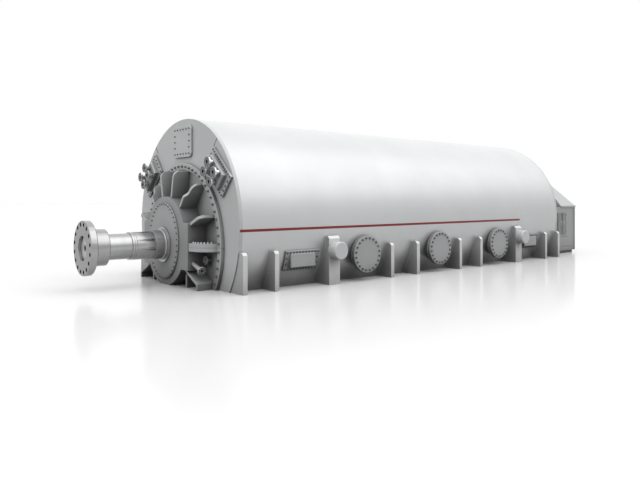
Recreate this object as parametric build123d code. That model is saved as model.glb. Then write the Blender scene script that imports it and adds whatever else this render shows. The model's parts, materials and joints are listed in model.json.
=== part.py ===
from build123d import *
from math import asin, cos, radians, sin
import os

os.makedirs("parts", exist_ok=True)

# Turbo generator with its exciter housing, in millimetres, from floor level up.
# +X runs along the shaft, from the coupling to the exciter, and +Z points up.
# The origin lies on the floor, under the middle of the casing and of the shaft.
# Pieces are drawn from the front of the casing, and save moves them to the origin.
# "Near" pieces lie on the -Y side and "far" pieces on the +Y side.

# Casing, a round drum that the floor cuts flat.
casing_radius = 2000
casing_length = 10040
casing_height = 1090
end_plate_thickness = 60

# Rotor line, lower than the middle of the casing.
shaft_height = 735
journal_radius = 250
neck_radius = 228
coupling_radius = 474
coupling_thickness = 120
coupling_hub_radius = 320
coupling_hub_length = 259
coupling_shoulder = 12
coupling_edge = 8
coupling_bore_radius = 213
coupling_recess = 60
coupling_hole_radius = 30
coupling_hole_circle = 410
coupling_hole_count = 16
shaft_reach = 1884
neck_length = 420
journal_groove_width = 40
journal_groove_depth = 8
centre_bore_radius = 52
centre_bore_depth = 160
rotor_depth = 300
running_gap = 12
seal_gap = 0.5

# End brackets, bolted to the end plates and split at the shaft's height.
bracket_radius = 1519
bracket_ring_width = 129
bracket_ring_thickness = 67
bracket_wall_front = 25
bracket_wall_back = 35
bracket_fit = 2
joint_flange_height = 72
joint_flange_reach = 375
joint_flange_bulge = 100

# Bearing housing in the middle of each bracket.
housing_reach = 390
housing_radius = 820
housing_rise = 64
ear_overhang = 106
ear_half_height = 415
cover_half_width = 600
cover_half_height = 710
cover_thickness = 28
cover_edge = 7
seal_flange_width = 42
seal_flange_thickness = 26
seal_wall = 34
seal_length = 72
seal_nose_wall = 14
seal_nose_length = 240
seal_edge = 9

# Ribs of each bracket, at angles from straight up.
rib_thickness = 56
rib_reach = 350
top_rib_angle = 12
shoulder_rib_angle = 37.5
side_rib_angle = 67
lower_rib_angle = 117
rib_root_depth = 60
rib_corner = 120
shoulder_rib_step = 85
shoulder_rib_waist = 285
shoulder_rib_knee = 160
shoulder_rib_tip = 100
lower_rib_thickness = 50
lower_rib_root_depth = 185
lower_rib_knee_gap = 40
bottom_rib_inset = 120
bottom_rib_height = 235
bottom_rib_reach = 300

# Covers on the end plates.
manhole_width = 730
manhole_height = 600
manhole_corner = 90
manhole_thickness = 40
manhole_edge = 7
manhole_gap = 106
cooler_length = 800
cooler_width = 470
cooler_tilt = 42
cooler_inset = 17
cooler_shift = 131
cooler_plate_thickness = 45
water_box_length = 560
water_box_width = 330
water_box_depth = 80
water_box_edge = 12
cooler_nozzle_spacing = 276
cooler_nozzle_pitch = 210
cooler_nozzle_reach = 232
cooler_pipe_radius = 48
cooler_flange_radius = 96
cooler_flange_thickness = 28
cooler_bore_radius = 34

# Drain pipes in the lower near bay of the front bracket. Each has its share of the
# way from the housing's ear to the bracket's ring, its drop below the shaft's
# middle and its reach.
drain_flange_radius = 78
drain_flange_thickness = 26
drain_pipe_radius = 38
drain_bore_radius = 25
drain_bore_depth = 50
short_drain_share = 0.343
short_drain_drop = 231
short_drain_reach = 140
sloped_drain_reach = 280
sloped_drain_drop = 293
sloped_drain_length = 340
sloped_drain_slope = 18
sloped_drain_root = 60

# Feet along both sides. Outer feet are placed from the nearer end of the casing,
# and the two middle feet from the middle of the casing.
foot_overhang = 80
foot_thickness = 88
foot_height = 690
foot_bevel = 45
foot_places = (64, 700, 3533)
middle_foot_offset = 714
lifting_foot_place = 1992
lifting_foot_thickness = 262
lifting_foot_height = 895
trunnion_radius = 163
trunnion_reach = 200
trunnion_height = 630
trunnion_chamfer = 12

# Round ports with blind covers, and flat box covers, low on both sides.
port_place = 2830
port_height = 510
port_neck_radius = 270
port_flange_radius = 356
port_flange_thickness = 44
port_joint_gap = 5
port_reach = 90
side_cover_place = 1328
side_cover_width = 745
side_cover_height = 372
side_cover_centre_height = 490
side_cover_thickness = 34
side_cover_box_width = 560
side_cover_box_height = 254
side_cover_box_depth = 95
side_cover_box_edge = 12

# Exciter housing behind the rear bracket.
exciter_length = 1385
exciter_half_width = 1580
exciter_wall_top = 1330
exciter_base_height = 75
exciter_base_inset = 70
hood_length = 815
hood_rise = 720
hood_side_run = 560
hood_end_run = 560
hood_eave = 12
hood_eave_thickness = 26
door_width = 215
door_top_gap = 148
door_gap = 40
door_thickness = 14
door_bottom = 550
door_inset = 380

# Sizes that follow from the ones above.
half_length = casing_length / 2
drum_inside = casing_radius * 3 / 4
bracket_inner_radius = bracket_radius - bracket_ring_width
housing_height = shaft_height + housing_rise
ear_half_width = housing_radius + ear_overhang
seal_radius = journal_radius + seal_wall
seal_flange_radius = seal_radius + seal_flange_width
lower_rib_knee = bracket_inner_radius - lower_rib_knee_gap
bottom_rib_offset = housing_radius - bottom_rib_inset
manhole_centre_height = shaft_height + bracket_radius + manhole_gap + manhole_height / 2
foot_half_width = casing_radius + foot_overhang
port_face = casing_radius + port_reach
door_height = exciter_wall_top - door_top_gap - door_bottom
bore_radius = journal_radius + running_gap
rear_bore_depth = rotor_depth + running_gap
exciter_start = casing_length + housing_reach
exciter_end = exciter_start + exciter_length


def along_x(radius, start, end, y=0.0, z=0.0):
    """Round bar along X from start to end."""
    plane = Plane(origin=(start, y, z), x_dir=(0, 1, 0), z_dir=(1, 0, 0))
    return extrude(plane * Circle(radius), amount=end - start)


def along_y(radius, x, z, start, end):
    """Round bar along Y from start to end."""
    plane = Plane(origin=(x, start, z), x_dir=(1, 0, 0), z_dir=(0, 1, 0))
    return extrude(plane * Circle(radius), amount=end - start)


def block(x0, x1, y0, y1, z0, z1):
    """Rectangular block between two corners."""
    centre = ((x0 + x1) / 2, (y0 + y1) / 2, (z0 + z1) / 2)
    return Pos(*centre) * Box(abs(x1 - x0), abs(y1 - y0), abs(z1 - z0))


def above_floor(shape):
    """Shape with all that lies under the floor cut away."""
    box = shape.bounding_box()
    if box.min.Z >= 0:
        return shape
    margin = 10
    return shape - block(box.min.X - margin, box.max.X + margin, box.min.Y - margin,
                         box.max.Y + margin, box.min.Z - margin, 0)


def at_rear(shape):
    """The same piece at the other end of the casing."""
    return mirror(shape, about=Plane.YZ.offset(half_length))


def at_far_side(shape):
    """The same piece on the other side of the shaft."""
    return mirror(shape, about=Plane.XZ)


def save(name, pieces):
    """Write one sub-part, of one solid or of several that don't touch."""
    listed = pieces if isinstance(pieces, (list, tuple)) else [pieces]
    solids = [Pos(-half_length, 0, 0) * solid for piece in listed for solid in piece.solids()]
    part = Compound(children=solids) if len(solids) > 1 else solids[0]
    part.label = name
    export_step(part, f"parts/{name}.step")


def casing_drum(start, end):
    """Length of the drum between two places along the shaft."""
    return above_floor(along_x(casing_radius, start, end, z=casing_height))


def casing_shell():
    """Drum between the end plates, with a blind hole for the rotor's end."""
    drum = casing_drum(end_plate_thickness, casing_length - end_plate_thickness)
    return drum - along_x(bore_radius, 0, rear_bore_depth, z=shaft_height)


def end_plate():
    """Front end plate with the round opening that the bracket closes."""
    opening = above_floor(along_x(bracket_inner_radius, -1, bracket_wall_back, z=shaft_height))
    plate = casing_drum(0, end_plate_thickness) - opening
    return plate - along_x(bore_radius, -1, end_plate_thickness + 1, z=shaft_height)


def manhole_cover():
    """Rounded rectangular cover high on the end plate."""
    plane = Plane(origin=(0, 0, manhole_centre_height), x_dir=(0, 1, 0), z_dir=(1, 0, 0))
    outline = plane * RectangleRounded(manhole_width, manhole_height, manhole_corner)
    cover = extrude(outline, amount=-manhole_thickness)
    rim = cover.faces().sort_by(Axis.X)[0].edges()
    return chamfer(rim, manhole_edge)


def near_cooler_place():
    """Plane on the end plate at the middle of the near cooler cover, facing forward."""
    outward = Vector(0, -sin(radians(cooler_tilt)), cos(radians(cooler_tilt)))
    long_axis = Vector(0, -cos(radians(cooler_tilt)), -sin(radians(cooler_tilt)))
    plate_edge = casing_radius + (casing_height - shaft_height) * cos(radians(cooler_tilt))
    distance = (bracket_radius + plate_edge) / 2 - cooler_inset
    centre = Vector(0, 0, shaft_height) + outward * distance + long_axis * cooler_shift
    return Plane(origin=centre, x_dir=long_axis, z_dir=(-1, 0, 0))


def near_cooler_cover():
    """Near front cooler cover: tilted plate with a raised water box."""
    place = near_cooler_place()
    plate = extrude(place * Rectangle(cooler_length, cooler_width), amount=cooler_plate_thickness)
    outline = place.offset(cooler_plate_thickness) * Rectangle(water_box_length, water_box_width)
    box = extrude(outline, amount=water_box_depth)
    box = chamfer(box.faces().sort_by(Axis.X)[0].edges(), water_box_edge)
    return plate + box


def near_water_nozzles():
    """Four flanged nozzles on the near front water box."""
    place = near_cooler_place()
    front = -cooler_nozzle_reach
    back = -cooler_plate_thickness - water_box_depth
    nozzles = []
    for u in (-cooler_nozzle_spacing / 2, cooler_nozzle_spacing / 2):
        for v in (-cooler_nozzle_pitch / 2, cooler_nozzle_pitch / 2):
            spot = place.origin + place.x_dir * u + place.y_dir * v
            y, z = spot.Y, spot.Z
            nozzle = along_x(cooler_pipe_radius, front, back, y=y, z=z)
            nozzle += along_x(cooler_flange_radius, front, front + cooler_flange_thickness, y=y, z=z)
            nozzle -= along_x(cooler_bore_radius, front - 1, back + 1, y=y, z=z)
            nozzles.append(nozzle)
    return nozzles


def joint_flange(height):
    """Far joint flange of one bracket half, from the bearing housing out to the ring."""
    start = (-joint_flange_reach, ear_half_width)
    end = (-bracket_ring_thickness, bracket_inner_radius)
    chord = (end[0] - start[0], end[1] - start[1])
    length = (chord[0] ** 2 + chord[1] ** 2) ** 0.5
    middle = (
        (start[0] + end[0]) / 2 - joint_flange_bulge * chord[1] / length,
        (start[1] + end[1]) / 2 + joint_flange_bulge * chord[0] / length,
    )
    front = ThreePointArc(start, middle, end)
    corners = Polyline(end, (-bracket_wall_front, end[1]), (-bracket_wall_front, start[1]), start)
    outline = Plane.XY.offset(shaft_height) * make_face(front + corners)
    return extrude(outline, amount=height)


def bracket_half(upper):
    """Half of the front bracket: bolted ring, recessed wall and both joint flanges."""
    ring = along_x(bracket_radius, -bracket_ring_thickness, 0, z=shaft_height)
    ring -= along_x(bracket_inner_radius, -bracket_ring_thickness - 1, -bracket_wall_front, z=shaft_height)
    spigot_radius = bracket_inner_radius - bracket_fit
    spigot = along_x(spigot_radius, -bracket_wall_front, bracket_wall_back, z=shaft_height)
    whole = ring + spigot - along_x(bore_radius, -bracket_radius, bracket_radius, z=shaft_height)
    size = 2 * bracket_radius
    low = 0 if not upper else shaft_height
    high = shaft_height if not upper else shaft_height + size
    half = whole & block(-size, size, -size, size, low, high)
    flange = joint_flange(joint_flange_height if upper else -joint_flange_height)
    return half + flange + at_far_side(flange)


def bearing_housing():
    """Front bearing housing: raised drum with square ears at the joint."""
    drum = along_x(housing_radius, -housing_reach, -bracket_wall_front, z=housing_height)
    ears = block(-housing_reach, -bracket_wall_front, -ear_half_width, ear_half_width,
                 shaft_height - ear_half_height, shaft_height + ear_half_height)
    housing = above_floor(drum + ears)
    return housing - along_x(bore_radius, -housing_reach - 1, 0, z=shaft_height)


def bearing_cover():
    """Oval cover bolted to the bearing housing, with the shaft below its middle."""
    front = -housing_reach - cover_thickness
    plane = Plane(origin=(front, 0, housing_height), x_dir=(0, 1, 0), z_dir=(1, 0, 0))
    disc = extrude(plane * Ellipse(cover_half_width, cover_half_height), amount=cover_thickness)
    disc = chamfer(disc.faces().sort_by(Axis.X)[0].edges(), cover_edge)
    return disc - along_x(bore_radius, front - 1, -housing_reach + 1, z=shaft_height)


def shaft_seal():
    """Stepped seal ring round the shaft, on the bearing cover."""
    back = -housing_reach - cover_thickness
    seal = along_x(seal_flange_radius, back - seal_flange_thickness, back, z=shaft_height)
    seal += along_x(seal_radius, back - seal_length, back, z=shaft_height)
    seal = chamfer(seal.faces().sort_by(Axis.X)[0].edges(), seal_edge)
    seal += along_x(journal_radius + seal_nose_wall, back - seal_nose_length, back, z=shaft_height)
    return seal - along_x(journal_radius + seal_gap, back - seal_nose_length - 1, back + 1, z=shaft_height)


def radial_rib(angle, profile):
    """Far radial rib from its outline of (reach, radius) corners."""
    sideways = (0, cos(radians(angle)), -sin(radians(angle)))
    plane = Plane(origin=(0, 0, shaft_height), x_dir=(-1, 0, 0), z_dir=sideways)
    return extrude(plane * make_face(profile), amount=rib_thickness / 2, both=True)


def bracket_ribs(neighbours):
    """All ribs of the front bracket, cut back to the pieces that carry them."""
    inner = housing_radius - rib_root_depth
    outer = bracket_inner_radius
    back = bracket_wall_front

    straight = Polyline(
        (back, inner), (rib_reach, inner), (rib_reach, outer - rib_corner)
    ) + TangentArc((rib_reach, outer - rib_corner), (rib_reach - rib_corner, outer), tangent=(0, 1)) \
        + Polyline((rib_reach - rib_corner, outer), (back, outer), (back, inner))

    step = rib_reach - shoulder_rib_step
    waist = outer - shoulder_rib_waist
    knee = outer - shoulder_rib_knee
    tip = step - shoulder_rib_tip
    stepped = Polyline((back, inner), (rib_reach, inner), (rib_reach, waist)) \
        + Spline((rib_reach, waist), (step, knee), tangents=((-0.5, 1), (0, 1))) \
        + TangentArc((step, knee), (tip, outer), tangent=(0, 1)) \
        + Polyline((tip, outer), (back, outer), (back, inner))

    far = [
        radial_rib(top_rib_angle, straight),
        radial_rib(shoulder_rib_angle, stepped),
        radial_rib(side_rib_angle, straight),
        lower_rib(),
        bottom_rib(),
    ]
    far = [above_floor(rib.cut(*neighbours)) for rib in far]
    return far + [at_far_side(rib) for rib in far]


def lower_rib():
    """Far lower rib: a plate that slopes from the ear to a knee and stands on the floor."""
    slope = radians(lower_rib_angle)
    start = ear_half_width - lower_rib_root_depth
    knee = (lower_rib_knee * sin(slope), shaft_height + lower_rib_knee * cos(slope))
    root = (start, shaft_height + start / sin(slope) * cos(slope))
    drop = lower_rib_thickness / sin(slope)
    inner = (knee[0] - lower_rib_thickness, knee[1] - drop - lower_rib_thickness * cos(slope) / sin(slope))
    outline = Polyline(root, knee, (knee[0], 0), (inner[0], 0), inner, (root[0], root[1] - drop), root)
    plane = Plane(origin=(-rib_reach, 0, 0), x_dir=(0, 1, 0), z_dir=(1, 0, 0))
    return extrude(plane * make_face(outline), amount=rib_reach - bracket_wall_front)


def bottom_rib():
    """Far upright rib beside the foot of the bearing housing."""
    half = rib_thickness / 2
    return block(-bottom_rib_reach, -bracket_wall_front, bottom_rib_offset - half,
                 bottom_rib_offset + half, 0, bottom_rib_height)


def short_drain():
    """Near flanged pipe stub that points forward from the bracket's wall."""
    y = -ear_half_width - short_drain_share * (bracket_inner_radius - ear_half_width)
    z = shaft_height - short_drain_drop
    front = -short_drain_reach
    pipe = along_x(drain_pipe_radius, front, -bracket_wall_front, y=y, z=z)
    pipe += along_x(drain_flange_radius, front, front + drain_flange_thickness, y=y, z=z)
    return pipe - along_x(drain_bore_radius, front - 1, front + drain_bore_depth, y=y, z=z)


def sloped_drain():
    """Near flanged pipe that slopes down and outward from the side of the housing's ear."""
    slope = radians(sloped_drain_slope)
    outward = Vector(0, -cos(slope), -sin(slope))
    leaving = Vector(-sloped_drain_reach, -ear_half_width, shaft_height - sloped_drain_drop)
    plane = Plane(origin=leaving + outward * sloped_drain_length, x_dir=(1, 0, 0), z_dir=-outward)
    length = sloped_drain_length + sloped_drain_root
    flange = extrude(plane * Circle(drain_flange_radius), amount=drain_flange_thickness)
    pipe = extrude(plane * Circle(drain_pipe_radius), amount=length) + flange
    pipe -= extrude(plane * Circle(drain_bore_radius), amount=drain_bore_depth)
    half = drain_flange_radius + sloped_drain_root
    return pipe - block(-sloped_drain_reach - half, -sloped_drain_reach + half,
                        -ear_half_width, 0, leaving.Z - half, leaving.Z + half)


def foot(place, thickness, height):
    """Near foot plate between the drum and the outer line of the feet."""
    start = place - thickness / 2
    plate = block(start, start + thickness, -foot_half_width, -drum_inside, 0, height)
    corner = plate.edges().filter_by(Axis.X).group_by(Axis.Z)[-1].sort_by(Axis.Y)[0]
    plate = chamfer(corner, foot_bevel)
    return plate - along_x(casing_radius, start - 1, start + thickness + 1, z=casing_height)


def near_feet():
    """All near feet, the thick lifting feet among them."""
    places = [*foot_places, half_length - middle_foot_offset]
    front = [foot(place, foot_thickness, foot_height) for place in places]
    front.append(foot(lifting_foot_place, lifting_foot_thickness, lifting_foot_height))
    return front + [at_rear(piece) for piece in front]


def near_trunnion():
    """Near front lifting trunnion."""
    end = -foot_half_width - trunnion_reach
    pin = along_y(trunnion_radius, lifting_foot_place, trunnion_height, end, -foot_half_width)
    return chamfer(pin.faces().sort_by(Axis.Y)[0].edges(), trunnion_chamfer)


def near_port(place):
    """Near round port: neck, flange and blind cover, with a groove at the joint."""
    back = -port_face + 2 * port_flange_thickness + port_joint_gap
    port = along_y(port_neck_radius, place, port_height, -port_face, -drum_inside)
    port += along_y(port_flange_radius, place, port_height, -port_face, -port_face + port_flange_thickness)
    port += along_y(port_flange_radius, place, port_height, back - port_flange_thickness, back)
    return port - casing_drum(place - port_flange_radius - 1, place + port_flange_radius + 1)


def near_side_cover():
    """Near front cover: a plate bolted flat on the drum, with an upright box on it."""
    drop = casing_height - side_cover_centre_height
    lean = asin(drop / casing_radius)
    middle = (side_cover_place, -casing_radius * cos(lean), side_cover_centre_height)
    place = Plane(origin=middle, x_dir=(1, 0, 0), z_dir=(0, -cos(lean), -sin(lean)))
    plate = extrude(place * Rectangle(side_cover_width, side_cover_height), amount=side_cover_thickness)
    plate += extrude(place * Rectangle(side_cover_width, side_cover_height), amount=-side_cover_thickness)
    face = -casing_radius * cos(lean) - side_cover_box_depth
    half_width = side_cover_box_width / 2
    half_height = side_cover_box_height / 2
    box = block(side_cover_place - half_width, side_cover_place + half_width, face, -drum_inside,
                side_cover_centre_height - half_height, side_cover_centre_height + half_height)
    box = chamfer(box.faces().sort_by(Axis.Y)[0].edges(), side_cover_box_edge)
    cover = plate + box
    return cover - casing_drum(side_cover_place - side_cover_width, side_cover_place + side_cover_width)


def exciter_base():
    """Set-in base frame under the exciter housing."""
    inset = exciter_base_inset
    return block(exciter_start + inset, exciter_end - inset / 2, -exciter_half_width + inset,
                 exciter_half_width - inset, 0, exciter_base_height)


def exciter_walls():
    """Closed body of the exciter housing."""
    return block(exciter_start, exciter_end, -exciter_half_width, exciter_half_width,
                 exciter_base_height, exciter_wall_top)


def exciter_hood():
    """Hipped hood over the outer part of the exciter housing."""
    half = exciter_half_width + hood_eave
    start = exciter_end - hood_length
    end = exciter_end + hood_eave
    base = exciter_wall_top
    eave = block(start, end, -half, half, base, base + hood_eave_thickness)
    low = Polyline((start, -half), (end, -half), (end, half), (start, half), (start, -half))
    top_half = half - hood_side_run
    top_end = end - hood_end_run
    high = Polyline((start, -top_half), (top_end, -top_half), (top_end, top_half),
                    (start, top_half), (start, -top_half))
    bottom_face = Pos(0, 0, base + hood_eave_thickness) * make_face(low)
    top_face = Pos(0, 0, base + hood_rise) * make_face(high)
    return eave + loft([bottom_face, top_face])


def near_exciter_doors():
    """Near pair of doors on the exciter housing."""
    doors = []
    for index in range(2):
        start = exciter_start + door_inset + index * (door_width + door_gap)
        doors.append(block(start, start + door_width, -exciter_half_width - door_thickness,
                           -exciter_half_width, door_bottom, door_bottom + door_height))
    return doors


def coupling_flange():
    """Coupling half: flange with bolt holes, hub with a rounded shoulder, bored for the shaft."""
    front = -shaft_reach
    rim = front + coupling_thickness
    back = rim + coupling_hub_length
    hub = along_x(coupling_hub_radius, front, back, z=shaft_height)
    hub = fillet(hub.faces().sort_by(Axis.X)[-1].edges(), coupling_shoulder)
    disc = along_x(coupling_radius, front, rim, z=shaft_height)
    disc = chamfer(disc.edges().filter_by(GeomType.CIRCLE), coupling_edge)
    flange = disc + hub
    flange -= along_x(coupling_bore_radius, front - 1, back + 1, z=shaft_height)
    for index in range(coupling_hole_count):
        angle = radians(360 * (index + 0.5) / coupling_hole_count)
        y = coupling_hole_circle * sin(angle)
        z = shaft_height + coupling_hole_circle * cos(angle)
        flange -= along_x(coupling_hole_radius, front - 1, rim + 1, y=y, z=z)
    return flange


def shaft():
    """Shaft: spigot in the coupling, thinner neck, grooved journal and a centre bore."""
    front = -shaft_reach + coupling_recess
    hub_back = -shaft_reach + coupling_thickness + coupling_hub_length
    neck_back = hub_back + neck_length
    bar = along_x(coupling_bore_radius, front, hub_back, z=shaft_height)
    bar += along_x(neck_radius, hub_back, neck_back, z=shaft_height)
    bar += along_x(journal_radius, neck_back, rotor_depth, z=shaft_height)
    groove_start = neck_back + journal_groove_width
    groove = along_x(journal_radius + 1, groove_start, groove_start + journal_groove_width, z=shaft_height)
    groove -= along_x(journal_radius - journal_groove_depth, groove_start - 1,
                      groove_start + journal_groove_width + 1, z=shaft_height)
    bar -= groove
    return bar - along_x(centre_bore_radius, front - 1, front + centre_bore_depth, z=shaft_height)


def copied(piece, how):
    """A piece, or each of a list of pieces, put through at_rear or at_far_side."""
    return [how(item) for item in piece] if isinstance(piece, list) else how(piece)


def save_both_sides(name, near, place=""):
    """Write a near piece and its mirror image on the far side."""
    suffix = f"_{place}" if place else ""
    save(f"near{suffix}_{name}", near)
    save(f"far{suffix}_{name}", copied(near, at_far_side))


def save_four(name, near_front):
    """Write a near front piece and its copies on the far side and at the rear."""
    save_both_sides(name, near_front, "front")
    save_both_sides(name, copied(near_front, at_rear), "rear")


save("casing_shell", casing_shell())
save("front_end_plate", end_plate())
save("rear_end_plate", at_rear(end_plate()))
save("front_manhole_cover", manhole_cover())
save("rear_manhole_cover", at_rear(manhole_cover()))

save_four("cooler_cover", near_cooler_cover())
save_four("water_nozzles", near_water_nozzles())

upper_half = bracket_half(True)
lower_half = bracket_half(False)
housing = bearing_housing()
ribs = bracket_ribs([housing, upper_half, lower_half])
save("front_bracket_upper", upper_half)
save("front_bracket_lower", lower_half)
save("front_bearing_housing", housing)
save("front_bracket_ribs", ribs)
save("front_bearing_cover", bearing_cover())
save("front_shaft_seal", shaft_seal())
save("front_drain_pipes", [sloped_drain(), short_drain()])
save("rear_bracket_upper", at_rear(upper_half))
save("rear_bracket_lower", at_rear(lower_half))
save("rear_bearing_housing", at_rear(housing))
save("rear_bracket_ribs", copied(ribs, at_rear))

save_both_sides("feet", near_feet())
save_four("trunnion", near_trunnion())
port_places = {"front": port_place, "middle": half_length, "rear": casing_length - port_place}
for port_name, place in port_places.items():
    save_both_sides("port", near_port(place), port_name)
save_four("side_cover", near_side_cover())

save("exciter_base", exciter_base())
save("exciter_walls", exciter_walls())
save("exciter_hood", exciter_hood())
near_doors = near_exciter_doors()
save("exciter_doors", near_doors + copied(near_doors, at_far_side))

save("coupling_flange", coupling_flange())
save("shaft", shaft())
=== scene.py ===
import bpy
import json
import math
from mathutils import Matrix, Vector

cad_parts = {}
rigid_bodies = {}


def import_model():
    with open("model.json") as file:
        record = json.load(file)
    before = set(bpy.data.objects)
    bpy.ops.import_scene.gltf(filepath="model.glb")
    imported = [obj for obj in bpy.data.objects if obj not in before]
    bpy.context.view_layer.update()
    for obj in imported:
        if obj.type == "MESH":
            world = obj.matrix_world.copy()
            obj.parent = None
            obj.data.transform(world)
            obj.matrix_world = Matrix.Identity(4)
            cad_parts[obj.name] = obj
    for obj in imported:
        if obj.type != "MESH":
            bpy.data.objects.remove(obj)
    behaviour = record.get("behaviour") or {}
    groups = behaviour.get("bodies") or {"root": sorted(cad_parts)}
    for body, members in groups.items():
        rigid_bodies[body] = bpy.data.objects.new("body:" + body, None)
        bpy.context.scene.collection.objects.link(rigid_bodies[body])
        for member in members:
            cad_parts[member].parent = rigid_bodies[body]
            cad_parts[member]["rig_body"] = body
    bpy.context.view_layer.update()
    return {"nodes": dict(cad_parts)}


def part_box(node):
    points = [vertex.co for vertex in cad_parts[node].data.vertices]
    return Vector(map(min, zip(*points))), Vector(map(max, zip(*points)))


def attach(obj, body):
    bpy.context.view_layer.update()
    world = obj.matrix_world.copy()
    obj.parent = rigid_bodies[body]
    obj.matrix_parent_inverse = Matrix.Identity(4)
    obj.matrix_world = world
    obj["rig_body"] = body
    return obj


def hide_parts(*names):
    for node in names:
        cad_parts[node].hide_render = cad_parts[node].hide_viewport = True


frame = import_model()
nodes = frame["nodes"]
scene = bpy.context.scene
print("frame loaded,", len(nodes), "nodes")

# Sizes in metres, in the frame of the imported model. Front is -X, near is -Y.
ends = {"front": -1, "rear": 1}
sides = {"near": -1, "far": 1}
portPlaces = ("front", "middle", "rear")
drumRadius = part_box("casing_shell")[1].y
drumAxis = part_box("casing_shell")[1].z - drumRadius
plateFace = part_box("rear_end_plate")[1].x
shaftAxis = (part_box("coupling_flange")[0].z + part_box("coupling_flange")[1].z) / 2


# Camera at the photograph's place

cameraSettings = {
    "place": (-10.1436, -10.3339, 1.5935),
    "turn": (90.0, 0.0, -39.342),
    "lens": 33.246,
    "shiftY": -0.06566,
    "reach": 400.0,
}


def addCamera():
    data = bpy.data.cameras.new("camera")
    data.lens = cameraSettings["lens"]
    data.shift_y = cameraSettings["shiftY"]
    data.clip_end = cameraSettings["reach"]
    camera = bpy.data.objects.new("camera", data)
    camera.location = cameraSettings["place"]
    camera.rotation_euler = [math.radians(angle) for angle in cameraSettings["turn"]]
    scene.collection.objects.link(camera)
    scene.camera = camera


addCamera()
print("camera set")


# Nodes and colours

def linear(colour):
    # sRGB hex to the linear values that a shader takes
    parts = [int(colour[place:place + 2], 16) / 255 for place in (1, 3, 5)]
    return [part / 12.92 if part <= 0.04045 else ((part + 0.055) / 1.055) ** 2.4 for part in parts] + [1.0]


def addNode(tree, kind, inputs=None, **settings):
    # one node with its own settings, its numbers and its links
    node = tree.nodes.new(kind)
    for name, value in settings.items():
        setattr(node, name, value)
    for name, value in (inputs or {}).items():
        if isinstance(value, bpy.types.NodeSocket):
            tree.links.new(value, node.inputs[name])
        else:
            node.inputs[name].default_value = value
    return node


def remap(tree, value, source, target, curve="LINEAR"):
    # a value carried from one range, given by its two ends, to another
    node = addNode(tree, "ShaderNodeMapRange",
                   {"Value": value, "From Min": source[0], "From Max": source[1],
                    "To Min": target[0], "To Max": target[1]}, interpolation_type=curve)
    return node.outputs[0]


def mix(tree, factor, first, second, kind="RGBA"):
    node = addNode(tree, "ShaderNodeMix", {"Factor": factor, "A": first, "B": second}, data_type=kind)
    return node.outputs["Result"]


def multiply(tree, first, second):
    return addNode(tree, "ShaderNodeMath", {0: first, 1: second}, operation="MULTIPLY").outputs[0]


def scaleColour(tree, colour, factor):
    return addNode(tree, "ShaderNodeVectorMath", {0: colour, "Scale": factor}, operation="SCALE").outputs[0]


def noise(tree, place, millimetres, detail, roughness=0.5):
    # cloudy pattern with a grain of that many millimetres
    node = addNode(tree, "ShaderNodeTexNoise", {"Vector": place, "Scale": 1000.0 / millimetres,
                                                "Detail": detail, "Roughness": roughness})
    return node.outputs["Fac"]


def newMaterial(name):
    material = bpy.data.materials.new(name)
    material.use_nodes = True
    material.node_tree.nodes.clear()
    return material, material.node_tree


def addSurface(tree, inputs):
    shader = addNode(tree, "ShaderNodeBsdfPrincipled", inputs)
    addNode(tree, "ShaderNodeOutputMaterial", {"Surface": shader.outputs[0]})


# Shapes

def deselectAll():
    bpy.ops.object.select_all(action="DESELECT")


def makeActive(piece):
    deselectAll()
    piece.select_set(True)
    bpy.context.view_layer.objects.active = piece


def addShape(operator, **settings):
    # the mesh that an operator makes, with its place and turn in the mesh
    deselectAll()
    operator(**settings)
    bpy.ops.object.transform_apply(location=True, rotation=True, scale=True)
    return bpy.context.object


# Light and floor

studio = {
    "backdrop": 1.0,
    "horizon": 0.26,
    "zenith": 1.0,
    "glintHorizon": 0.9,
    "glintZenith": 1.55,
    "floorSeen": "#F8F8F8",
    "floorBounce": "#303030",
    "floorGlint": "#FFFFFF",
    "floorRoughness": 0.16,
    "floorGloss": 0.12,
    "floorSize": 300.0,
    "floorDrop": 0.001,
}
lamps = {
    "key": {"power": 0.82, "spread": 75.0, "rise": 58.0, "azimuth": 300.0},
    "softbox": {"power": 0.36, "spread": 50.0, "rise": 45.0, "azimuth": 325.0},
    "fill": {"power": 0.68, "spread": 60.0, "rise": 20.0, "azimuth": 175.0},
}


def hangLamp(name, power, spread, rise, azimuth):
    data = bpy.data.lights.new(name, "SUN")
    data.energy = power
    data.angle = math.radians(spread)
    lamp = bpy.data.objects.new(name, data)
    lamp.rotation_euler = (0, math.radians(90 - rise), math.radians(azimuth))
    scene.collection.objects.link(lamp)


def lightStudio():
    # white room to the eye; its light and the glints in metal are stronger from above than from the horizon
    world = bpy.data.worlds.new("studio")
    scene.world = world
    world.use_nodes = True
    tree = world.node_tree
    tree.nodes.clear()
    coords = addNode(tree, "ShaderNodeTexCoord")
    height = addNode(tree, "ShaderNodeSeparateXYZ", {0: coords.outputs["Generated"]}).outputs["Z"]
    dome = remap(tree, height, (0.0, 1.0), (studio["horizon"], studio["zenith"]))
    glint = remap(tree, height, (0.0, 1.0), (studio["glintHorizon"], studio["glintZenith"]))
    path = addNode(tree, "ShaderNodeLightPath")
    indirect = mix(tree, path.outputs["Is Glossy Ray"], dome, glint, "FLOAT")
    strength = mix(tree, path.outputs["Is Camera Ray"], indirect, studio["backdrop"], "FLOAT")
    room = addNode(tree, "ShaderNodeBackground", {"Color": linear("#FFFFFF"), "Strength": strength})
    addNode(tree, "ShaderNodeOutputWorld", {"Surface": room.outputs[0]})
    scene.view_settings.view_transform = "Standard"
    for name, lamp in lamps.items():
        hangLamp(name, **lamp)


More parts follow.
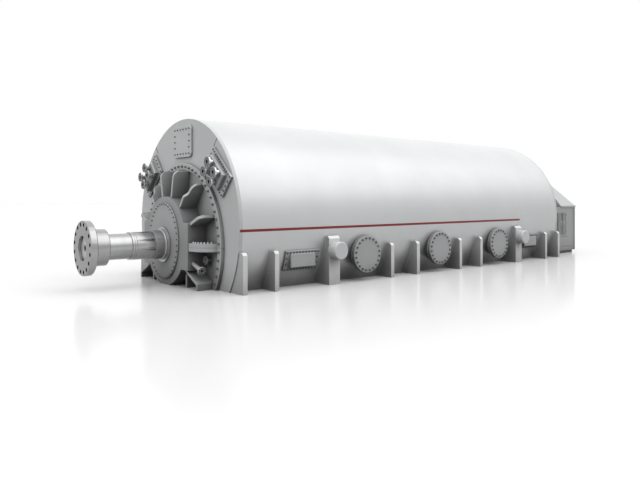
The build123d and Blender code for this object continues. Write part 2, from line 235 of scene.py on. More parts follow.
def layFloor():
    # polished floor: white to the eye and in metal, dark grey for the light that it throws back
    material, tree = newMaterial("polishedFloor")
    path = addNode(tree, "ShaderNodeLightPath")
    thrown = mix(tree, path.outputs["Is Glossy Ray"], linear(studio["floorBounce"]),
                 linear(studio["floorGlint"]))
    colour = mix(tree, path.outputs["Is Camera Ray"], thrown, linear(studio["floorSeen"]))
    addSurface(tree, {"Base Color": colour, "Roughness": studio["floorRoughness"],
                      "Specular IOR Level": studio["floorGloss"]})
    floor = addShape(bpy.ops.mesh.primitive_plane_add, size=studio["floorSize"],
                     location=(0, 0, -studio["floorDrop"]))
    floor.name = "floor"
    floor.data.materials.append(material)


lightStudio()
layFloor()
print("studio lit")


# Finishes

# Patches, streaks and spots have their grain in millimetres, then the noise's detail and roughness.
enamelLook = {
    "patches": (900, 3.0, 0.55), "noiseRange": (0.3, 0.7), "patchTones": (0.965, 1.03),
    "streaks": (120, 5.0, 0.6), "dirt": "#6E6B66", "dirtTop": 0.55,
    "cornerReach": 0.55, "cornerRays": 8, "cornerRange": (0.25, 0.92),
    "glossier": 0.04, "duller": 0.05, "peel": 0.25, "peelDetail": 2.0, "refraction": 1.5,
}
steelLook = {
    "rings": (3.0, 0.65), "bandRings": 14, "bandDetail": 2.0, "bandShare": 0.45,
    "wearRange": (0.35, 0.65), "tones": (1.03, 0.95), "groove": 0.15, "grooveDepth": 0.0002,
}
rubbedLook = {"spots": (9, 4.0), "rubRange": (0.35, 0.7), "tones": (0.8, 1.35), "spread": 0.06}
# range of the normal's X over which faces that look along the shaft get painted shade
endFacing = (0.6, 0.95)


def paintEndShade(tree, coords, tone):
    # painted shade: the shade factor on faces that look along the shaft, 1 on all others, and in between
    # where the normal's X is between the two values of endFacing
    normal = addNode(tree, "ShaderNodeSeparateXYZ", {0: coords.outputs["Normal"]})
    along = addNode(tree, "ShaderNodeMath", {0: normal.outputs["X"]}, operation="ABSOLUTE")
    return remap(tree, along.outputs[0], endFacing, (1.0, tone))


def makeEnamel(name, colour, roughness, grain=14.0, grainDepth=0.0006, dust=0.25, metal=0.0, cornerShade=0.55,
               endShade=1.0):
    # sprayed alkyd enamel on steel plate: satin, faintly uneven, dusty near the floor, with painted shade in
    # its corners and hollows and, where its end figure is under 1, painted shade on the faces that look along
    # the shaft
    look = enamelLook
    material, tree = newMaterial(name)
    coords = addNode(tree, "ShaderNodeTexCoord")
    spot = coords.outputs["Object"]
    patches = noise(tree, spot, *look["patches"])
    streaks = noise(tree, spot, *look["streaks"])
    peel = noise(tree, spot, grain, look["peelDetail"])
    shade = remap(tree, patches, look["noiseRange"], look["patchTones"])
    toned = scaleColour(tree, linear(colour)[:3], shade)
    place = addNode(tree, "ShaderNodeSeparateXYZ", {0: spot})
    lowness = remap(tree, place.outputs["Z"], (0.0, look["dirtTop"]), (dust, 0.0), "SMOOTHSTEP")
    dusty = mix(tree, multiply(tree, lowness, streaks), toned, linear(look["dirt"]))
    # painted shade: an ambient occlusion node darkens the colour in corners, hollows and between parts
    corners = addNode(tree, "ShaderNodeAmbientOcclusion", {"Distance": look["cornerReach"]},
                      samples=look["cornerRays"])
    depth = remap(tree, corners.outputs["AO"], look["cornerRange"], (1.0 - cornerShade, 1.0))
    shadedColour = scaleColour(tree, dusty, multiply(tree, depth, paintEndShade(tree, coords, endShade)))
    sheen = remap(tree, streaks, look["noiseRange"],
                  (roughness - look["glossier"], roughness + look["duller"]))
    bump = addNode(tree, "ShaderNodeBump", {"Height": peel, "Strength": look["peel"], "Distance": grainDepth})
    addSurface(tree, {"Base Color": shadedColour, "Roughness": sheen, "Normal": bump.outputs[0],
                      "IOR": look["refraction"], "Metallic": metal})
    return material


def makeTurnedSteel(name, colour, smooth, rough, ring=6.0, endShade=1.0):
    # steel turned in a lathe: fine rings round the shaft, some of them duller, and, where its end figure is
    # under 1, painted shade on the faces cut across it
    look = steelLook
    material, tree = newMaterial(name)
    coords = addNode(tree, "ShaderNodeTexCoord")
    moved = addNode(tree, "ShaderNodeMapping", {"Vector": coords.outputs["Object"],
                                                "Location": (0, 0, -shaftAxis)})
    place = addNode(tree, "ShaderNodeSeparateXYZ", {0: moved.outputs[0]})
    across = addNode(tree, "ShaderNodeCombineXYZ", {"Y": place.outputs["Y"], "Z": place.outputs["Z"]})
    radius = addNode(tree, "ShaderNodeVectorMath", {0: across.outputs[0]}, operation="LENGTH")
    track = addNode(tree, "ShaderNodeCombineXYZ", {"X": place.outputs["X"], "Y": radius.outputs["Value"]})
    rings = noise(tree, track.outputs[0], ring, *look["rings"])
    bands = noise(tree, track.outputs[0], ring * look["bandRings"], look["bandDetail"])
    wear = mix(tree, look["bandShare"], rings, bands, "FLOAT")
    dull = remap(tree, wear, look["wearRange"], (smooth, rough))
    shade = remap(tree, wear, look["wearRange"], look["tones"])
    toned = scaleColour(tree, linear(colour)[:3], multiply(tree, shade, paintEndShade(tree, coords, endShade)))
    bump = addNode(tree, "ShaderNodeBump", {"Height": rings, "Strength": look["groove"],
                                            "Distance": look["grooveDepth"]})
    addSurface(tree, {"Base Color": toned, "Metallic": 1.0, "Roughness": dull, "Normal": bump.outputs[0]})
    return material


def makeRubbedSteel(name, colour, metallic, roughness):
    # bolts, nozzles and bores: half matt steel with lighter rubbed spots
    look = rubbedLook
    material, tree = newMaterial(name)
    coords = addNode(tree, "ShaderNodeTexCoord")
    spots = noise(tree, coords.outputs["Object"], *look["spots"])
    toned = scaleColour(tree, linear(colour)[:3], remap(tree, spots, look["rubRange"], look["tones"]))
    dull = remap(tree, spots, look["rubRange"], (roughness + look["spread"], roughness - look["spread"]))
    addSurface(tree, {"Base Color": toned, "Metallic": metallic, "Roughness": dull})
    return material


# painted shade: the occlusion figure darkens corners and hollows, the end figure darkens faces along the
# shaft
finishes = {
    "casing": makeEnamel("aluminiumCasingEnamel", "#D7D8D9", 0.33, grain=40, dust=0.1, metal=0.25),
    "plate": makeEnamel("endPlateEnamel", "#D7D8D9", 0.45, dust=0.1),
    "bracket": makeEnamel("castBracketEnamel", "#CACBCC", 0.5, grain=18, grainDepth=0.0015, cornerShade=0.8),
    "waterBox": makeEnamel("waterBoxEnamel", "#D7D8D9", 0.45, dust=0.1, cornerShade=0.85),
    "feet": makeEnamel("footEnamel", "#F8F8F8", 0.45, dust=0.06, cornerShade=0.6, endShade=0.64),
    "port": makeEnamel("coverEnamel", "#BEBFC0", 0.45, cornerShade=0.65),
    "cover": makeEnamel("bearingCoverEnamel", "#B2B3B4", 0.48, cornerShade=0.7),
    "housing": makeEnamel("bearingHousingEnamel", "#A4A5A6", 0.5, grainDepth=0.0012, cornerShade=0.75),
    "trunnion": makeEnamel("trunnionEnamel", "#E4E5E6", 0.45, dust=0.1),
    "exciter": makeEnamel("exciterEnamel", "#BABBBC", 0.5),
    "post": makeEnamel("exciterPostEnamel", "#A4A5A6", 0.5),
    "hood": makeEnamel("hoodEnamel", "#CCCDCE", 0.5),
    "door": makeEnamel("doorEnamel", "#9A9B9C", 0.5, cornerShade=0.3),
    "stripe": makeEnamel("redStripeEnamel", "#861014", 0.4, dust=0.0, cornerShade=0.0),
    "gasket": makeEnamel("gasketFibre", "#3C3C3C", 0.8, dust=0.0, cornerShade=0.2),
    "steel": makeTurnedSteel("turnedShaftSteel", "#A0A0A1", 0.12, 0.2),
    "coupling": makeTurnedSteel("turnedCouplingSteel", "#989899", 0.13, 0.21, endShade=0.62),
    "seal": makeTurnedSteel("machinedSealSteel", "#9E9E9F", 0.28, 0.4, ring=9),
    # painted light: a lighter steel for the disc in the coupling's recess, lifting the recess's shade
    "spigot": makeTurnedSteel("spigotSteelPaintedLight", "#B2B2B4", 0.34, 0.46),
    "nozzle": makeRubbedSteel("machinedNozzleSteel", "#C8C8CA", 1.0, 0.26),
    "nozzleFace": makeRubbedSteel("gasketFaceSteel", "#6C6C6E", 0.8, 0.45),
    "bolt": makeRubbedSteel("blackenedBoltSteel", "#4A4B4D", 0.7, 0.45),
    "coverBolt": makeRubbedSteel("greyedBoltSteel", "#5E5F61", 0.7, 0.45),
    # painted shade: dark grey for the liners and floors inside the water box nozzles
    "nozzleBore": makeRubbedSteel("nozzleBoreShadeGrey", "#4E4E50", 0.6, 0.55),
    "ringBolt": makeRubbedSteel("oiledBoltSteel", "#77787A", 0.7, 0.45),
    "paleBolt": makeRubbedSteel("zincPlatedBolt", "#DADBDC", 0.7, 0.38),
    # painted shade: near black for the liners, mouths and plugs in the holes of the coupling and the drains
    "bore": makeRubbedSteel("boreShadeBlack", "#161617", 0.4, 0.6),
}
print("finishes made,", len(finishes))


# Tools for modelling

# Two angles in degrees, then the width of a rounding as a share of the thinnest side or the radius.
rounding = {"sharp": 35.0, "smooth": 45.0, "ring": 1 / 6, "panel": 1 / 5, "hinge": 1 / 4}
merging = {"distance": 0.0001, "flatAngle": 0.4}
capSlope = 0.9


def pickCaps(piece, way):
    # edit mode with only the faces selected that look up, or down where way is -1
    makeActive(piece)
    bpy.ops.object.mode_set(mode="EDIT")
    bpy.ops.mesh.select_mode(type="FACE")
    bpy.ops.mesh.select_all(action="DESELECT")
    bpy.ops.object.mode_set(mode="OBJECT")
    for face in piece.data.polygons:
        face.select = face.normal.z * way > capSlope
    bpy.ops.object.mode_set(mode="EDIT")


def insetTop(piece, border, lift):
    # leaves a border round the upper face and lifts its middle, or sinks it where lift is under 0
    pickCaps(piece, 1)
    bpy.ops.mesh.inset(thickness=border)
    bpy.ops.transform.translate(value=(0, 0, lift))
    bpy.ops.object.mode_set(mode="OBJECT")


def cutAway(piece, point, normal, fill=False):
    # removes what lies on the side that the normal points to
    makeActive(piece)
    bpy.ops.object.mode_set(mode="EDIT")
    bpy.ops.mesh.select_all(action="SELECT")
    bpy.ops.mesh.bisect(plane_co=point, plane_no=normal, clear_outer=True, use_fill=fill)
    bpy.ops.object.mode_set(mode="OBJECT")


def applyModifier(piece, kind, **settings):
    makeActive(piece)
    modifier = piece.modifiers.new(kind.lower(), kind)
    for name, value in settings.items():
        setattr(modifier, name, value)
    bpy.ops.object.modifier_apply(modifier=modifier.name)


def softenEdges(piece, width, segments=1):
    # narrow rounding on every sharp edge, with flat faces that stay flat to the light
    makeActive(piece)
    bpy.ops.object.shade_smooth_by_angle(angle=math.radians(rounding["sharp"]))
    applyModifier(piece, "BEVEL", width=width, segments=segments, limit_method="ANGLE",
                  angle_limit=math.radians(rounding["sharp"]), use_clamp_overlap=False,
                  miter_outer="MITER_SHARP")
    makeActive(piece)
    bpy.ops.object.shade_smooth_by_angle(angle=math.radians(rounding["smooth"]))
    applyModifier(piece, "WEIGHTED_NORMAL", keep_sharp=True)


def finishPiece(piece, body, finish):
    # place goes into the mesh, then the finish and the body that it rides on
    makeActive(piece)
    bpy.ops.object.transform_apply(location=True, rotation=True, scale=True)
    piece.data.materials.clear()
    piece.data.materials.append(finishes[finish])
    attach(piece, body)


def camel(name):
    first, *rest = name.split("_")
    return first + "".join(word.capitalize() for word in rest)


def dressNode(node, finish, edge):
    # a merged copy of the node with rounded edges, which stands for it
    piece = bpy.data.objects.new(camel(node), nodes[node].data.copy())
    scene.collection.objects.link(piece)
    makeActive(piece)
    bpy.ops.mesh.customdata_custom_splitnormals_clear()
    bpy.ops.object.mode_set(mode="EDIT")
    bpy.ops.mesh.select_all(action="SELECT")
    bpy.ops.mesh.remove_doubles(threshold=merging["distance"])
    bpy.ops.mesh.dissolve_limited(angle_limit=math.radians(merging["flatAngle"]))
    bpy.ops.object.mode_set(mode="OBJECT")
    softenEdges(piece, edge, segments=2)
    finishPiece(piece, nodes[node]["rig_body"], finish)
    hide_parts(node)


def joinCopies(name, model, places, body, finish):
    # one piece from copies of a model, each with its own mesh, set at its place
    copies = []
    for place in places:
        copy = model.copy()
        copy.data = model.data.copy()
        copy.data.transform(place)
        scene.collection.objects.link(copy)
        copies.append(copy)
    makeActive(copies[0])
    for copy in copies:
        copy.select_set(True)
    bpy.ops.object.join()
    piece = bpy.context.object
    piece.name = name
    finishPiece(piece, body, finish)


def dropModels(*models):
    for model in models:
        bpy.data.objects.remove(model)


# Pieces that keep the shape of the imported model: finish, nodes and the width of their rounded edges

shownNodes = {
    "casing": (["casing_shell"], 0.002),
    "plate": (["front_end_plate", "rear_end_plate"] + [f"{end}_manhole_cover" for end in ends], 0.003),
    "waterBox": ([f"{side}_{end}_cooler_cover" for side in sides for end in ends], 0.003),
    "trunnion": ([f"{side}_{end}_trunnion" for side in sides for end in ends], 0.004),
    "bracket": (["front_bracket_upper", "front_bracket_lower", "rear_bracket_upper", "rear_bracket_lower",
                 "front_bracket_ribs", "rear_bracket_ribs"], 0.006),
    "housing": (["front_bearing_housing", "rear_bearing_housing"], 0.006),
    "cover": (["front_bearing_cover"], 0.006),
    "port": ([f"{side}_{place}_port" for side in sides for place in portPlaces]
             + [f"{side}_{end}_side_cover" for side in sides for end in ends] + ["front_drain_pipes"], 0.004),
    "feet": (["near_feet", "far_feet"], 0.003),
    "nozzle": ([f"{side}_{end}_water_nozzles" for side in sides for end in ends], 0.003),
    "seal": (["front_shaft_seal"], 0.003),
    "exciter": (["exciter_base", "exciter_walls", "exciter_doors"], 0.005),
    "hood": (["exciter_hood"], 0.008),
    "coupling": (["coupling_flange"], 0.004),
    "steel": (["shaft"], 0.004),
}
for finish, (members, edge) in shownNodes.items():
    for node in members:
        dressNode(node, finish, edge)
print("nodes dressed")


# Places

coolerTilt = 42.0
headTurn = {"step": 37, "range": 60}


def middleOf(node):
    low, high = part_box(node)
    return (low + high) / 2


def endFace(node, sign):
    # middle of a node's front face, or of its rear face where sign is 1
    spot = middleOf(node)
    spot.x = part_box(node)[0 if sign < 0 else 1].x
    return spot


def portFace(side, place):
    # middle of a port's outer face
    node = f"{side}_{place}_port"
    spot = middleOf(node)
    spot.y = sides[side] * max(abs(corner.y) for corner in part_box(node))
    return spot


def coolerAxes(hand):
    # the long and the short direction of a tilted cooler cover
    tilt = math.radians(coolerTilt)
    return (Vector((0, hand * math.cos(tilt), -math.sin(tilt))),
            Vector((0, hand * math.sin(tilt), math.cos(tilt))))


def facing(normal):
    return Vector(normal).to_track_quat("Z", "Y").to_matrix().to_4x4()


def standAt(spot, normal):
    # puts a model's foot at the spot, with its top in the normal's direction
    return Matrix.Translation(spot) @ facing(normal)


def turnHead(index):
    # bolt heads end up at different angles
    return Matrix.Rotation(math.radians(index * headTurn["step"] % headTurn["range"]), 4, "Z")


def circlePlaces(centre, normal, radius, count, squash=1.0):
    # round a circle, or an oval where squashed, half a step off the vertical
    places = []
    for index in range(count):
        angle = 2 * math.pi * (index + 0.5) / count
        spot = Matrix.Translation((radius * squash * math.sin(angle), radius * math.cos(angle), 0))
        places.append(standAt(centre, normal) @ spot @ turnHead(index))
    return places


def edgePlaces(centre, normal, across, halfAcross, halfUp, countAcross, countUp):
    # along the four edges of a rectangle, with each corner once
    across = Vector(across).normalized()
    up = Vector(normal).cross(across).normalized()
    spots = []
    for index in range(countAcross):
        step = halfAcross * (2 * index / (countAcross - 1) - 1)
        spots += [across * step + up * halfUp, across * step - up * halfUp]
    for index in range(1, countUp - 1):
        step = halfUp * (2 * index / (countUp - 1) - 1)
        spots += [up * step + across * halfAcross, up * step - across * halfAcross]
    return [standAt(centre + spot, normal) @ turnHead(index) for index, spot in enumerate(spots)]


# Fasteners

boltShape = {"headSides": 6, "crownBorder": 0.09, "crownRise": 0.12, "washerSides": 14, "washerShare": 1 / 5}


def modelBolt(flats, height, washer):
    # hexagon head with a chamfered crown on a round washer, standing on z = 0 and pointing up
    size = boltShape
    thickness = height * size["washerShare"]
    disc = addShape(bpy.ops.mesh.primitive_cylinder_add, vertices=size["washerSides"], radius=washer,
                    depth=thickness, location=(0, 0, thickness / 2))
    head = addShape(bpy.ops.mesh.primitive_cylinder_add, vertices=size["headSides"],
                    radius=flats / math.sqrt(3), depth=height, location=(0, 0, thickness + height / 2))
    insetTop(head, flats * size["crownBorder"], height * size["crownRise"])
    makeActive(head)
    disc.select_set(True)
    bpy.ops.object.join()
    pickCaps(head, -1)
    bpy.ops.mesh.delete(type="FACE")
    bpy.ops.object.mode_set(mode="OBJECT")
    return head


bracketBolts = {
    "flats": 0.032, "height": 0.026, "washer": 0.02,
    "circle": 1.453, "count": 64, "face": plateFace + 0.067, "lowest": 0.06,
}


def boltBrackets():
    size = bracketBolts
    bolt = modelBolt(size["flats"], size["height"], size["washer"])
    for end, sign in ends.items():
        centre = (sign * size["face"], 0, shaftAxis)
        places = circlePlaces(centre, (sign, 0, 0), size["circle"], size["count"])
        places = [place for place in places if place.translation.z > size["lowest"]]
        joinCopies(f"{end}BracketBolts", bolt, places, "stator", "ringBolt")
    dropModels(bolt)


coverBolts = {
    "flats": 0.022, "height": 0.014, "washer": 0.014,
    "circle": 0.687, "squash": 0.84, "count": 40,
}


def boltBearingCover():
    size = coverBolts
    bolt = modelBolt(size["flats"], size["height"], size["washer"])
    places = circlePlaces(endFace("front_bearing_cover", -1), (-1, 0, 0), size["circle"], size["count"],
                          size["squash"])
    joinCopies("bearingCoverBolts", bolt, places, "stator", "coverBolt")
    dropModels(bolt)


plateCovers = {
    "flats": 0.022, "height": 0.014, "washer": 0.014,
    "manholeHalfWidth": 0.29, "manholeHalfHeight": 0.231, "manholeAcross": 6, "manholeUp": 5,
    "coolerHalfLength": 0.37, "coolerHalfWidth": 0.205, "coolerAcross": 12, "coolerUp": 5,
    "coolerPlate": 0.045,
}


def boltPlateCovers():
    size = plateCovers
    bolt = modelBolt(size["flats"], size["height"], size["washer"])
    for end, sign in ends.items():
        way = (sign, 0, 0)
        places = edgePlaces(endFace(f"{end}_manhole_cover", sign), way, (0, 1, 0), size["manholeHalfWidth"],
                            size["manholeHalfHeight"], size["manholeAcross"], size["manholeUp"])
        joinCopies(f"{end}ManholeBolts", bolt, places, "stator", "coverBolt")
        for side, hand in sides.items():
            centre = middleOf(f"{side}_{end}_cooler_cover")
            centre.x = sign * (plateFace + size["coolerPlate"])
            places = edgePlaces(centre, way, coolerAxes(hand)[0], size["coolerHalfLength"],
                                size["coolerHalfWidth"], size["coolerAcross"], size["coolerUp"])
            joinCopies(f"{side}{end.capitalize()}CoolerBolts", bolt, places, "stator", "coverBolt")
    dropModels(bolt)


sideBolts = {
    "flats": 0.03, "height": 0.018, "washer": 0.019, "portCircle": 0.31, "portCount": 20,
    "coverFlats": 0.022, "coverHeight": 0.012, "coverWasher": 0.014,
    "coverHeightOverFloor": 0.49, "coverPlate": 0.034, "coverHalfWidth": 0.342, "coverHalfHeight": 0.158,
    "coverAcross": 11, "coverUp": 4,
}


def boltSides():
    # round ports, and side covers that lean with the drum
    size = sideBolts
    bolt = modelBolt(size["flats"], size["height"], size["washer"])
    small = modelBolt(size["coverFlats"], size["coverHeight"], size["coverWasher"])
    lean = math.asin((drumAxis - size["coverHeightOverFloor"]) / drumRadius)
    for side, hand in sides.items():
        for place in portPlaces:
            places = circlePlaces(portFace(side, place), (0, hand, 0), size["portCircle"], size["portCount"])
            joinCopies(f"{side}{place.capitalize()}PortBolts", bolt, places, "stator", "coverBolt")
        for end in ends:
            normal = Vector((0, hand * math.cos(lean), -math.sin(lean)))
            centre = Vector((middleOf(f"{side}_{end}_side_cover").x, 0, drumAxis))
            centre += normal * (drumRadius + size["coverPlate"])
            places = edgePlaces(centre, normal, (1, 0, 0), size["coverHalfWidth"], size["coverHalfHeight"],
                                size["coverAcross"], size["coverUp"])
            joinCopies(f"{side}{end.capitalize()}SideCoverBolts", small, places, "stator", "bolt")
    dropModels(bolt, small)


jointBolts = {
    "flats": 0.022, "height": 0.02, "washer": 0.013, "count": 7, "free": 1.5, "edgeInset": 0.045,
    "start": (0.375, 0.926), "end": (0.067, 1.39), "bulge": 0.1, "flangeHeight": 0.072,
}


def boltJointFlanges():
    # heads along the curved front edge of each joint flange, with some steps left free at both its ends
    size = jointBolts
    start, end = Vector(size["start"]), Vector(size["end"])
    chord = end - start
    radius = (chord.length ** 2 / 4 + size["bulge"] ** 2) / (2 * size["bulge"])
    outward = Vector((chord.y, -chord.x)).normalized()
    centre = (start + end) / 2 - outward * (radius - size["bulge"])
    first = math.atan2(start.y - centre.y, start.x - centre.x)
    last = math.atan2(end.y - centre.y, end.x - centre.x)
    steps = size["count"] - 1 + 2 * size["free"]
    bolt = modelBolt(size["flats"], size["height"], size["washer"])
    for name, sign in ends.items():
        places = []
        for hand in sides.values():
            for index in range(size["count"]):
                angle = first + (last - first) * (index + size["free"]) / steps
                reach = centre + Vector((math.cos(angle), math.sin(angle))) * (radius - size["edgeInset"])
                spot = (sign * (plateFace + reach.x), hand * reach.y, shaftAxis + size["flangeHeight"])
                places.append(Matrix.Translation(spot) @ turnHead(index))
        joinCopies(f"{name}JointBolts", bolt, places, "stator", "paleBolt")
    dropModels(bolt)


boltBrackets()
boltBearingCover()
boltPlateCovers()
boltSides()
boltJointFlanges()
print("fasteners set")


# Round trim: gaskets, raised faces, and liners and plugs that paint shade into holes

plugShape = {"sides": 32, "border": 0.3, "dish": 0.4}
nozzleTrim = {
    "faceRadius": 0.09, "faceWall": 0.054, "faceThickness": 0.004, "faceSides": 40,
    "linerRadius": 0.0339, "linerWall": 0.003, "linerLength": 0.1, "linerSides": 24,
    "floorThickness": 0.004, "spacing": 0.138, "pitch": 0.105,
}
couplingTrim = {
    "linerRadius": 0.0299, "linerWall": 0.002, "linerLength": 0.116,
    "mouthRadius": 0.037, "mouthWall": 0.0085, "mouthThickness": 0.003, "holeSides": 24,
    "circle": 0.41, "count": 16, "sink": 0.0026,
    "centreRadius": 0.0518, "centreThickness": 0.003, "centreDepth": 0.02,
    "discRadius": 0.203, "discWall": 0.147, "discThickness": 0.012, "discSides": 64, "spigotFace": 0.06,
}
drains = {
    "flats": 0.016, "height": 0.01, "washer": 0.01, "circle": 0.056, "count": 8,
    "boreRadius": 0.0249, "boreDepth": 0.012, "plugThickness": 0.01, "slope": 18.0,
    "short": (-5.16, -1.0852, 0.504), "sloped": (-5.3, -1.2494, 0.3369),
}
portTrim = {"radius": 0.3575, "wall": 0.012, "thickness": 0.01, "sides": 96, "sink": 0.0515}


def modelRing(radius, wall, width, count):
    # flat ring round Z, from z = 0 up: an open tube of many sides that gets its wall and rounded edges
    ring = addShape(bpy.ops.mesh.primitive_cylinder_add, vertices=count, radius=radius, depth=width,
                    end_fill_type="NOTHING", location=(0, 0, width / 2))
    applyModifier(ring, "SOLIDIFY", thickness=wall, offset=-1)
    softenEdges(ring, min(wall, width) * rounding["ring"])
    return ring


def modelPlug(radius, thickness):
    # disc that closes a hole, from z = 0 down, with a dished middle
    plug = addShape(bpy.ops.mesh.primitive_cylinder_add, vertices=plugShape["sides"], radius=radius,
                    depth=thickness, location=(0, 0, -thickness / 2))
    insetTop(plug, radius * plugShape["border"], -thickness * plugShape["dish"])
    return plug


def trimNozzles():
    # gasket face, and a dark liner and floor as painted shade, for each of the four nozzles on a water box
    size = nozzleTrim
    face = modelRing(size["faceRadius"], size["faceWall"], size["faceThickness"], size["faceSides"])
    liner = modelRing(size["linerRadius"], size["linerWall"], size["linerLength"], size["linerSides"])
    plug = modelPlug(size["linerRadius"], size["floorThickness"])
    for end, sign in ends.items():
        inward = Vector((-sign * size["linerLength"], 0, 0))
        for side, hand in sides.items():
            centre = endFace(f"{side}_{end}_water_nozzles", sign)
            across, up = coolerAxes(hand)
            spots = [centre + across * along + up * rise for along in (-size["spacing"], size["spacing"])
                     for rise in (-size["pitch"], size["pitch"])]
            name = side + end.capitalize()
            places = [standAt(spot, (sign, 0, 0)) for spot in spots]
            joinCopies(name + "NozzleFaces", face, places, "stator", "nozzleFace")
            places = [standAt(spot + inward, (sign, 0, 0)) for spot in spots]
            joinCopies(name + "NozzleLiners", liner, places, "stator", "nozzleBore")
            joinCopies(name + "NozzleFloors", plug, places, "stator", "nozzleBore")
    dropModels(face, liner, plug)


def trimCoupling():
    # dark liner and dark mouth as painted shade for each bolt hole, and in the recess a lighter disc as
    # painted light over the recess's shade, with a dark plug as painted shade in its middle
    size = couplingTrim
    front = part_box("coupling_flange")[0].x
    holes = (front + size["sink"], 0, shaftAxis)
    liner = modelRing(size["linerRadius"], size["linerWall"], size["linerLength"], size["holeSides"])
    places = circlePlaces(holes, (1, 0, 0), size["circle"], size["count"])
    joinCopies("couplingHoleLiners", liner, places, "rotor", "bore")
    mouth = modelRing(size["mouthRadius"], size["mouthWall"], size["mouthThickness"], size["holeSides"])
    places = circlePlaces(holes, (-1, 0, 0), size["circle"], size["count"])
    joinCopies("couplingHoleMouthShades", mouth, places, "rotor", "bore")
    plug = modelPlug(size["centreRadius"], size["centreThickness"])
    spot = (front + size["spigotFace"] + size["centreDepth"], 0, shaftAxis)
    joinCopies("shaftCentrePlug", plug, [standAt(spot, (-1, 0, 0))], "rotor", "bore")
    disc = modelRing(size["discRadius"], size["discWall"], size["discThickness"], size["discSides"])
    spot = (front + size["spigotFace"], 0, shaftAxis)
    joinCopies("shaftSpigotDisc", disc, [standAt(spot, (-1, 0, 0))], "rotor", "spigot")
    dropModels(liner, mouth, plug, disc)


def trimDrains():
    # bolts round both flanges, and dark floors as painted shade in their blind bores
    size = drains
    slope = math.radians(size["slope"])
    pipes = [(size["short"], Vector((-1, 0, 0))),
             (size["sloped"], Vector((0, -math.cos(slope), -math.sin(slope))))]
    bolt = modelBolt(size["flats"], size["height"], size["washer"])
    places = []
    for spot, way in pipes:
        places += circlePlaces(spot, way, size["circle"], size["count"])
    joinCopies("drainFlangeBolts", bolt, places, "stator", "bolt")
    plug = modelPlug(size["boreRadius"], size["plugThickness"])
    places = [standAt(Vector(spot) - way * size["boreDepth"], way) for spot, way in pipes]
    joinCopies("drainPlugs", plug, places, "stator", "bore")
    dropModels(bolt, plug)


def sealPorts():
    # dark gasket between the two flanges of each port
    size = portTrim
    ring = modelRing(size["radius"], size["wall"], size["thickness"], size["sides"])
    for side, hand in sides.items():
        way = Vector((0, hand, 0))
        places = [standAt(portFace(side, place) - way * size["sink"], way) for place in portPlaces]
        joinCopies(side + "PortGaskets", ring, places, "stator", "gasket")
    dropModels(ring)


trimNozzles()
trimCoupling()
trimDrains()
sealPorts()
print("round trim set")


# Strips and panels

doorTrim = {
    "width": 0.175, "height": 0.59, "thickness": 0.01, "border": 0.012, "sink": 0.005,
    "middles": (5.8975, 6.1525), "middleHeight": 0.866, "face": 1.594,
    "hingeRadius": 0.011, "hingeLength": 0.07, "hingeSides": 12, "hingeRise": 0.006,
    "hingeHeights": (0.62, 0.866, 1.11),
    "handleRadius": 0.007, "handleLength": 0.11, "handleRise": 0.03, "handleSides": (32, 8),
    "handleHeight": 0.87, "handleInset": 0.04,
}
exciterWall = 1.58
exciterStrips = {
    "DoorSill": {"size": (0.43, 0.014, 0.006), "border": 0.003, "sink": 0.001,
                 "place": (6.155, exciterWall, 0.484), "finish": "post"},
    "WallLedge": {"size": (1.3, 0.022, 0.009), "border": 0.005, "sink": 0.001,
                  "place": (6.1, exciterWall, 0.235), "finish": "hood"},
    "CornerPost": {"size": (0.105, 1.22, 0.006), "border": 0.012, "sink": 0.002,
                   "place": (6.735, exciterWall, 0.7), "finish": "post"},
    "EaveStrip": {"size": (0.805, 0.05, 0.006), "border": 0.01, "sink": 0.002,
                  "place": (6.3925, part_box("exciter_hood")[1].y, 1.345), "finish": "hood"},
}
seams = {
    "angle": 39.2, "inner": 1.815, "outer": 1.993, "width": 0.014, "thickness": 0.004,
    "border": 0.003, "sink": 0.001,
}


def modelPanel(width, height, thickness, border, sink):
    # plate that stands on z = 0 with its middle pressed in
    plate = addShape(bpy.ops.mesh.primitive_cube_add, size=1, location=(0, 0, thickness / 2),
                     scale=(width, height, thickness))
    insetTop(plate, border, -sink)
    softenEdges(plate, min(thickness, border) * rounding["panel"])
    return plate


def trimExciter():
    # panel on each door leaf, then the strips on wall and hood
    size = doorTrim
    panel = modelPanel(size["width"], size["height"], size["thickness"], size["border"], size["sink"])
    strips = {name: modelPanel(*strip["size"], strip["border"], strip["sink"])
              for name, strip in exciterStrips.items()}
    for side, hand in sides.items():
        way = (0, hand, 0)
        places = [standAt((middle, hand * size["face"], size["middleHeight"]), way)
                  for middle in size["middles"]]
        joinCopies(side + "DoorPanels", panel, places, "stator", "door")
        for name, strip in exciterStrips.items():
            along, out, height = strip["place"]
            places = [standAt((along, hand * out, height), way)]
            joinCopies(side + name, strips[name], places, "stator", strip["finish"])
    dropModels(panel, *strips.values())


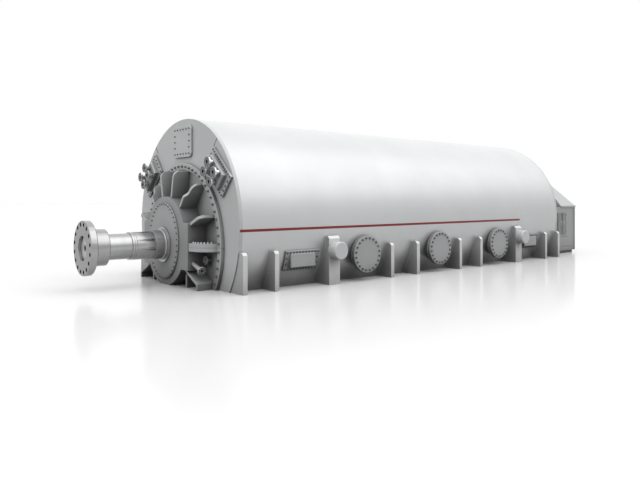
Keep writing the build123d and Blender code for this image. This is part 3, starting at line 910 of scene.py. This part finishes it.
def hangDoors():
    # three hinges and one pull handle on each door leaf
    size = doorTrim
    hinge = addShape(bpy.ops.mesh.primitive_cylinder_add, vertices=size["hingeSides"],
                     radius=size["hingeRadius"], depth=size["hingeLength"], rotation=(math.pi / 2, 0, 0))
    softenEdges(hinge, size["hingeRadius"] * rounding["hinge"])
    handle = addShape(bpy.ops.mesh.primitive_torus_add, major_radius=size["handleLength"] / 2,
                      minor_radius=size["handleRadius"], major_segments=size["handleSides"][0],
                      minor_segments=size["handleSides"][1], rotation=(0, math.pi / 2, 0))
    cutAway(handle, (0, 0, 0), (0, 0, -1))
    handle.scale = (1, 1, 2 * size["handleRise"] / size["handleLength"])
    makeActive(handle)
    bpy.ops.object.transform_apply(scale=True)
    bpy.ops.object.shade_smooth()
    half = size["width"] / 2 + size["hingeRadius"]
    for side, hand in sides.items():
        way = (0, hand, 0)
        hinges = []
        handles = []
        for middle, outer in zip(size["middles"], (-1, 1)):
            for height in size["hingeHeights"]:
                spot = (middle + outer * half, hand * (size["face"] + size["hingeRise"]), height)
                hinges.append(standAt(spot, way))
            spot = (middle - outer * (half - size["handleInset"]), hand * (size["face"] + size["sink"]),
                    size["handleHeight"])
            handles.append(standAt(spot, way))
        joinCopies(side + "DoorHinges", hinge, hinges, "stator", "exciter")
        joinCopies(side + "DoorHandles", handle, handles, "stator", "paleBolt")
    dropModels(hinge, handle)


def seamEndPlates():
    # dark joint on each end plate, from a cooler cover out to the rim
    size = seams
    strip = modelPanel(size["width"], size["outer"] - size["inner"], size["thickness"], size["border"],
                       size["sink"])
    middle = (size["outer"] + size["inner"]) / 2
    for end, sign in ends.items():
        places = []
        for hand in sides.values():
            angle = math.radians(size["angle"]) * hand
            spot = Vector((sign * (plateFace - size["thickness"] / 2), middle * math.sin(angle),
                           drumAxis + middle * math.cos(angle)))
            places.append(Matrix.Translation(spot) @ Matrix.Rotation(-angle, 4, "X") @ facing((sign, 0, 0)))
        joinCopies(end + "PlateSeams", strip, places, "stator", "gasket")
    dropModels(strip)


trimExciter()
hangDoors()
seamEndPlates()
print("panels and strips set")


# Red stripe on both sides of the drum

stripe = {
    "low": 1.028, "high": 1.072, "start": -5.01, "end": 3.2,
    "proud": 0.0012, "thickness": 0.0022, "drumSides": 720,
}


def paintStripes():
    # a thin band cut from a cylinder just outside the drum
    size = stripe
    for side, hand in sides.items():
        band = addShape(bpy.ops.mesh.primitive_cylinder_add, vertices=size["drumSides"],
                        radius=drumRadius + size["proud"], depth=size["end"] - size["start"],
                        end_fill_type="NOTHING", location=((size["start"] + size["end"]) / 2, 0, drumAxis),
                        rotation=(0, math.pi / 2, 0))
        band.name = side + "RedStripe"
        cutAway(band, (0, 0, size["high"]), (0, 0, 1))
        cutAway(band, (0, 0, size["low"]), (0, 0, -1))
        cutAway(band, (0, 0, 0), (0, -hand, 0))
        applyModifier(band, "SOLIDIFY", thickness=size["thickness"], offset=-1)
        finishPiece(band, "stator", "stripe")


paintStripes()
print("stripes painted")


# Weld beads along the feet

beads = {
    "radius": 0.009, "drumSides": 320, "beadSides": 6,
    "footHeight": 0.69, "footHalf": 0.044, "feet": (4.956, 4.32, 1.487, 0.714),
    "liftHeight": 0.895, "liftHalf": 0.131, "liftFoot": 3.028, "endMargin": 0.03,
}


def weldBead(height, hand):
    # part of a thin ring round the drum, from the floor to the top of a foot
    size = beads
    bead = addShape(bpy.ops.mesh.primitive_torus_add, major_radius=drumRadius, minor_radius=size["radius"],
                    major_segments=size["drumSides"], minor_segments=size["beadSides"],
                    location=(0, 0, drumAxis), rotation=(0, math.pi / 2, 0))
    cutAway(bead, (0, 0, height), (0, 0, 1), fill=True)
    cutAway(bead, (0, 0, 0), (0, 0, -1), fill=True)
    cutAway(bead, (0, 0, 0), (0, -hand, 0))
    makeActive(bead)
    bpy.ops.object.shade_smooth()
    return bead


def beadPlaces(middles, half):
    # both edges of each foot and of its twin at the drum's other end, apart from those past an end plate
    spots = [sign * middle + edge * half for middle in middles for sign in (-1, 1) for edge in (-1, 1)]
    return [Matrix.Translation((spot, 0, 0)) for spot in spots if abs(spot) < plateFace - beads["endMargin"]]


def weldFeet():
    size = beads
    for side, hand in sides.items():
        low = weldBead(size["footHeight"], hand)
        joinCopies(side + "FootWelds", low, beadPlaces(size["feet"], size["footHalf"]), "stator", "feet")
        tall = weldBead(size["liftHeight"], hand)
        places = beadPlaces([size["liftFoot"]], size["liftHalf"])
        joinCopies(side + "LiftingFootWelds", tall, places, "stator", "feet")
        dropModels(low, tall)


weldFeet()
print("welds laid")
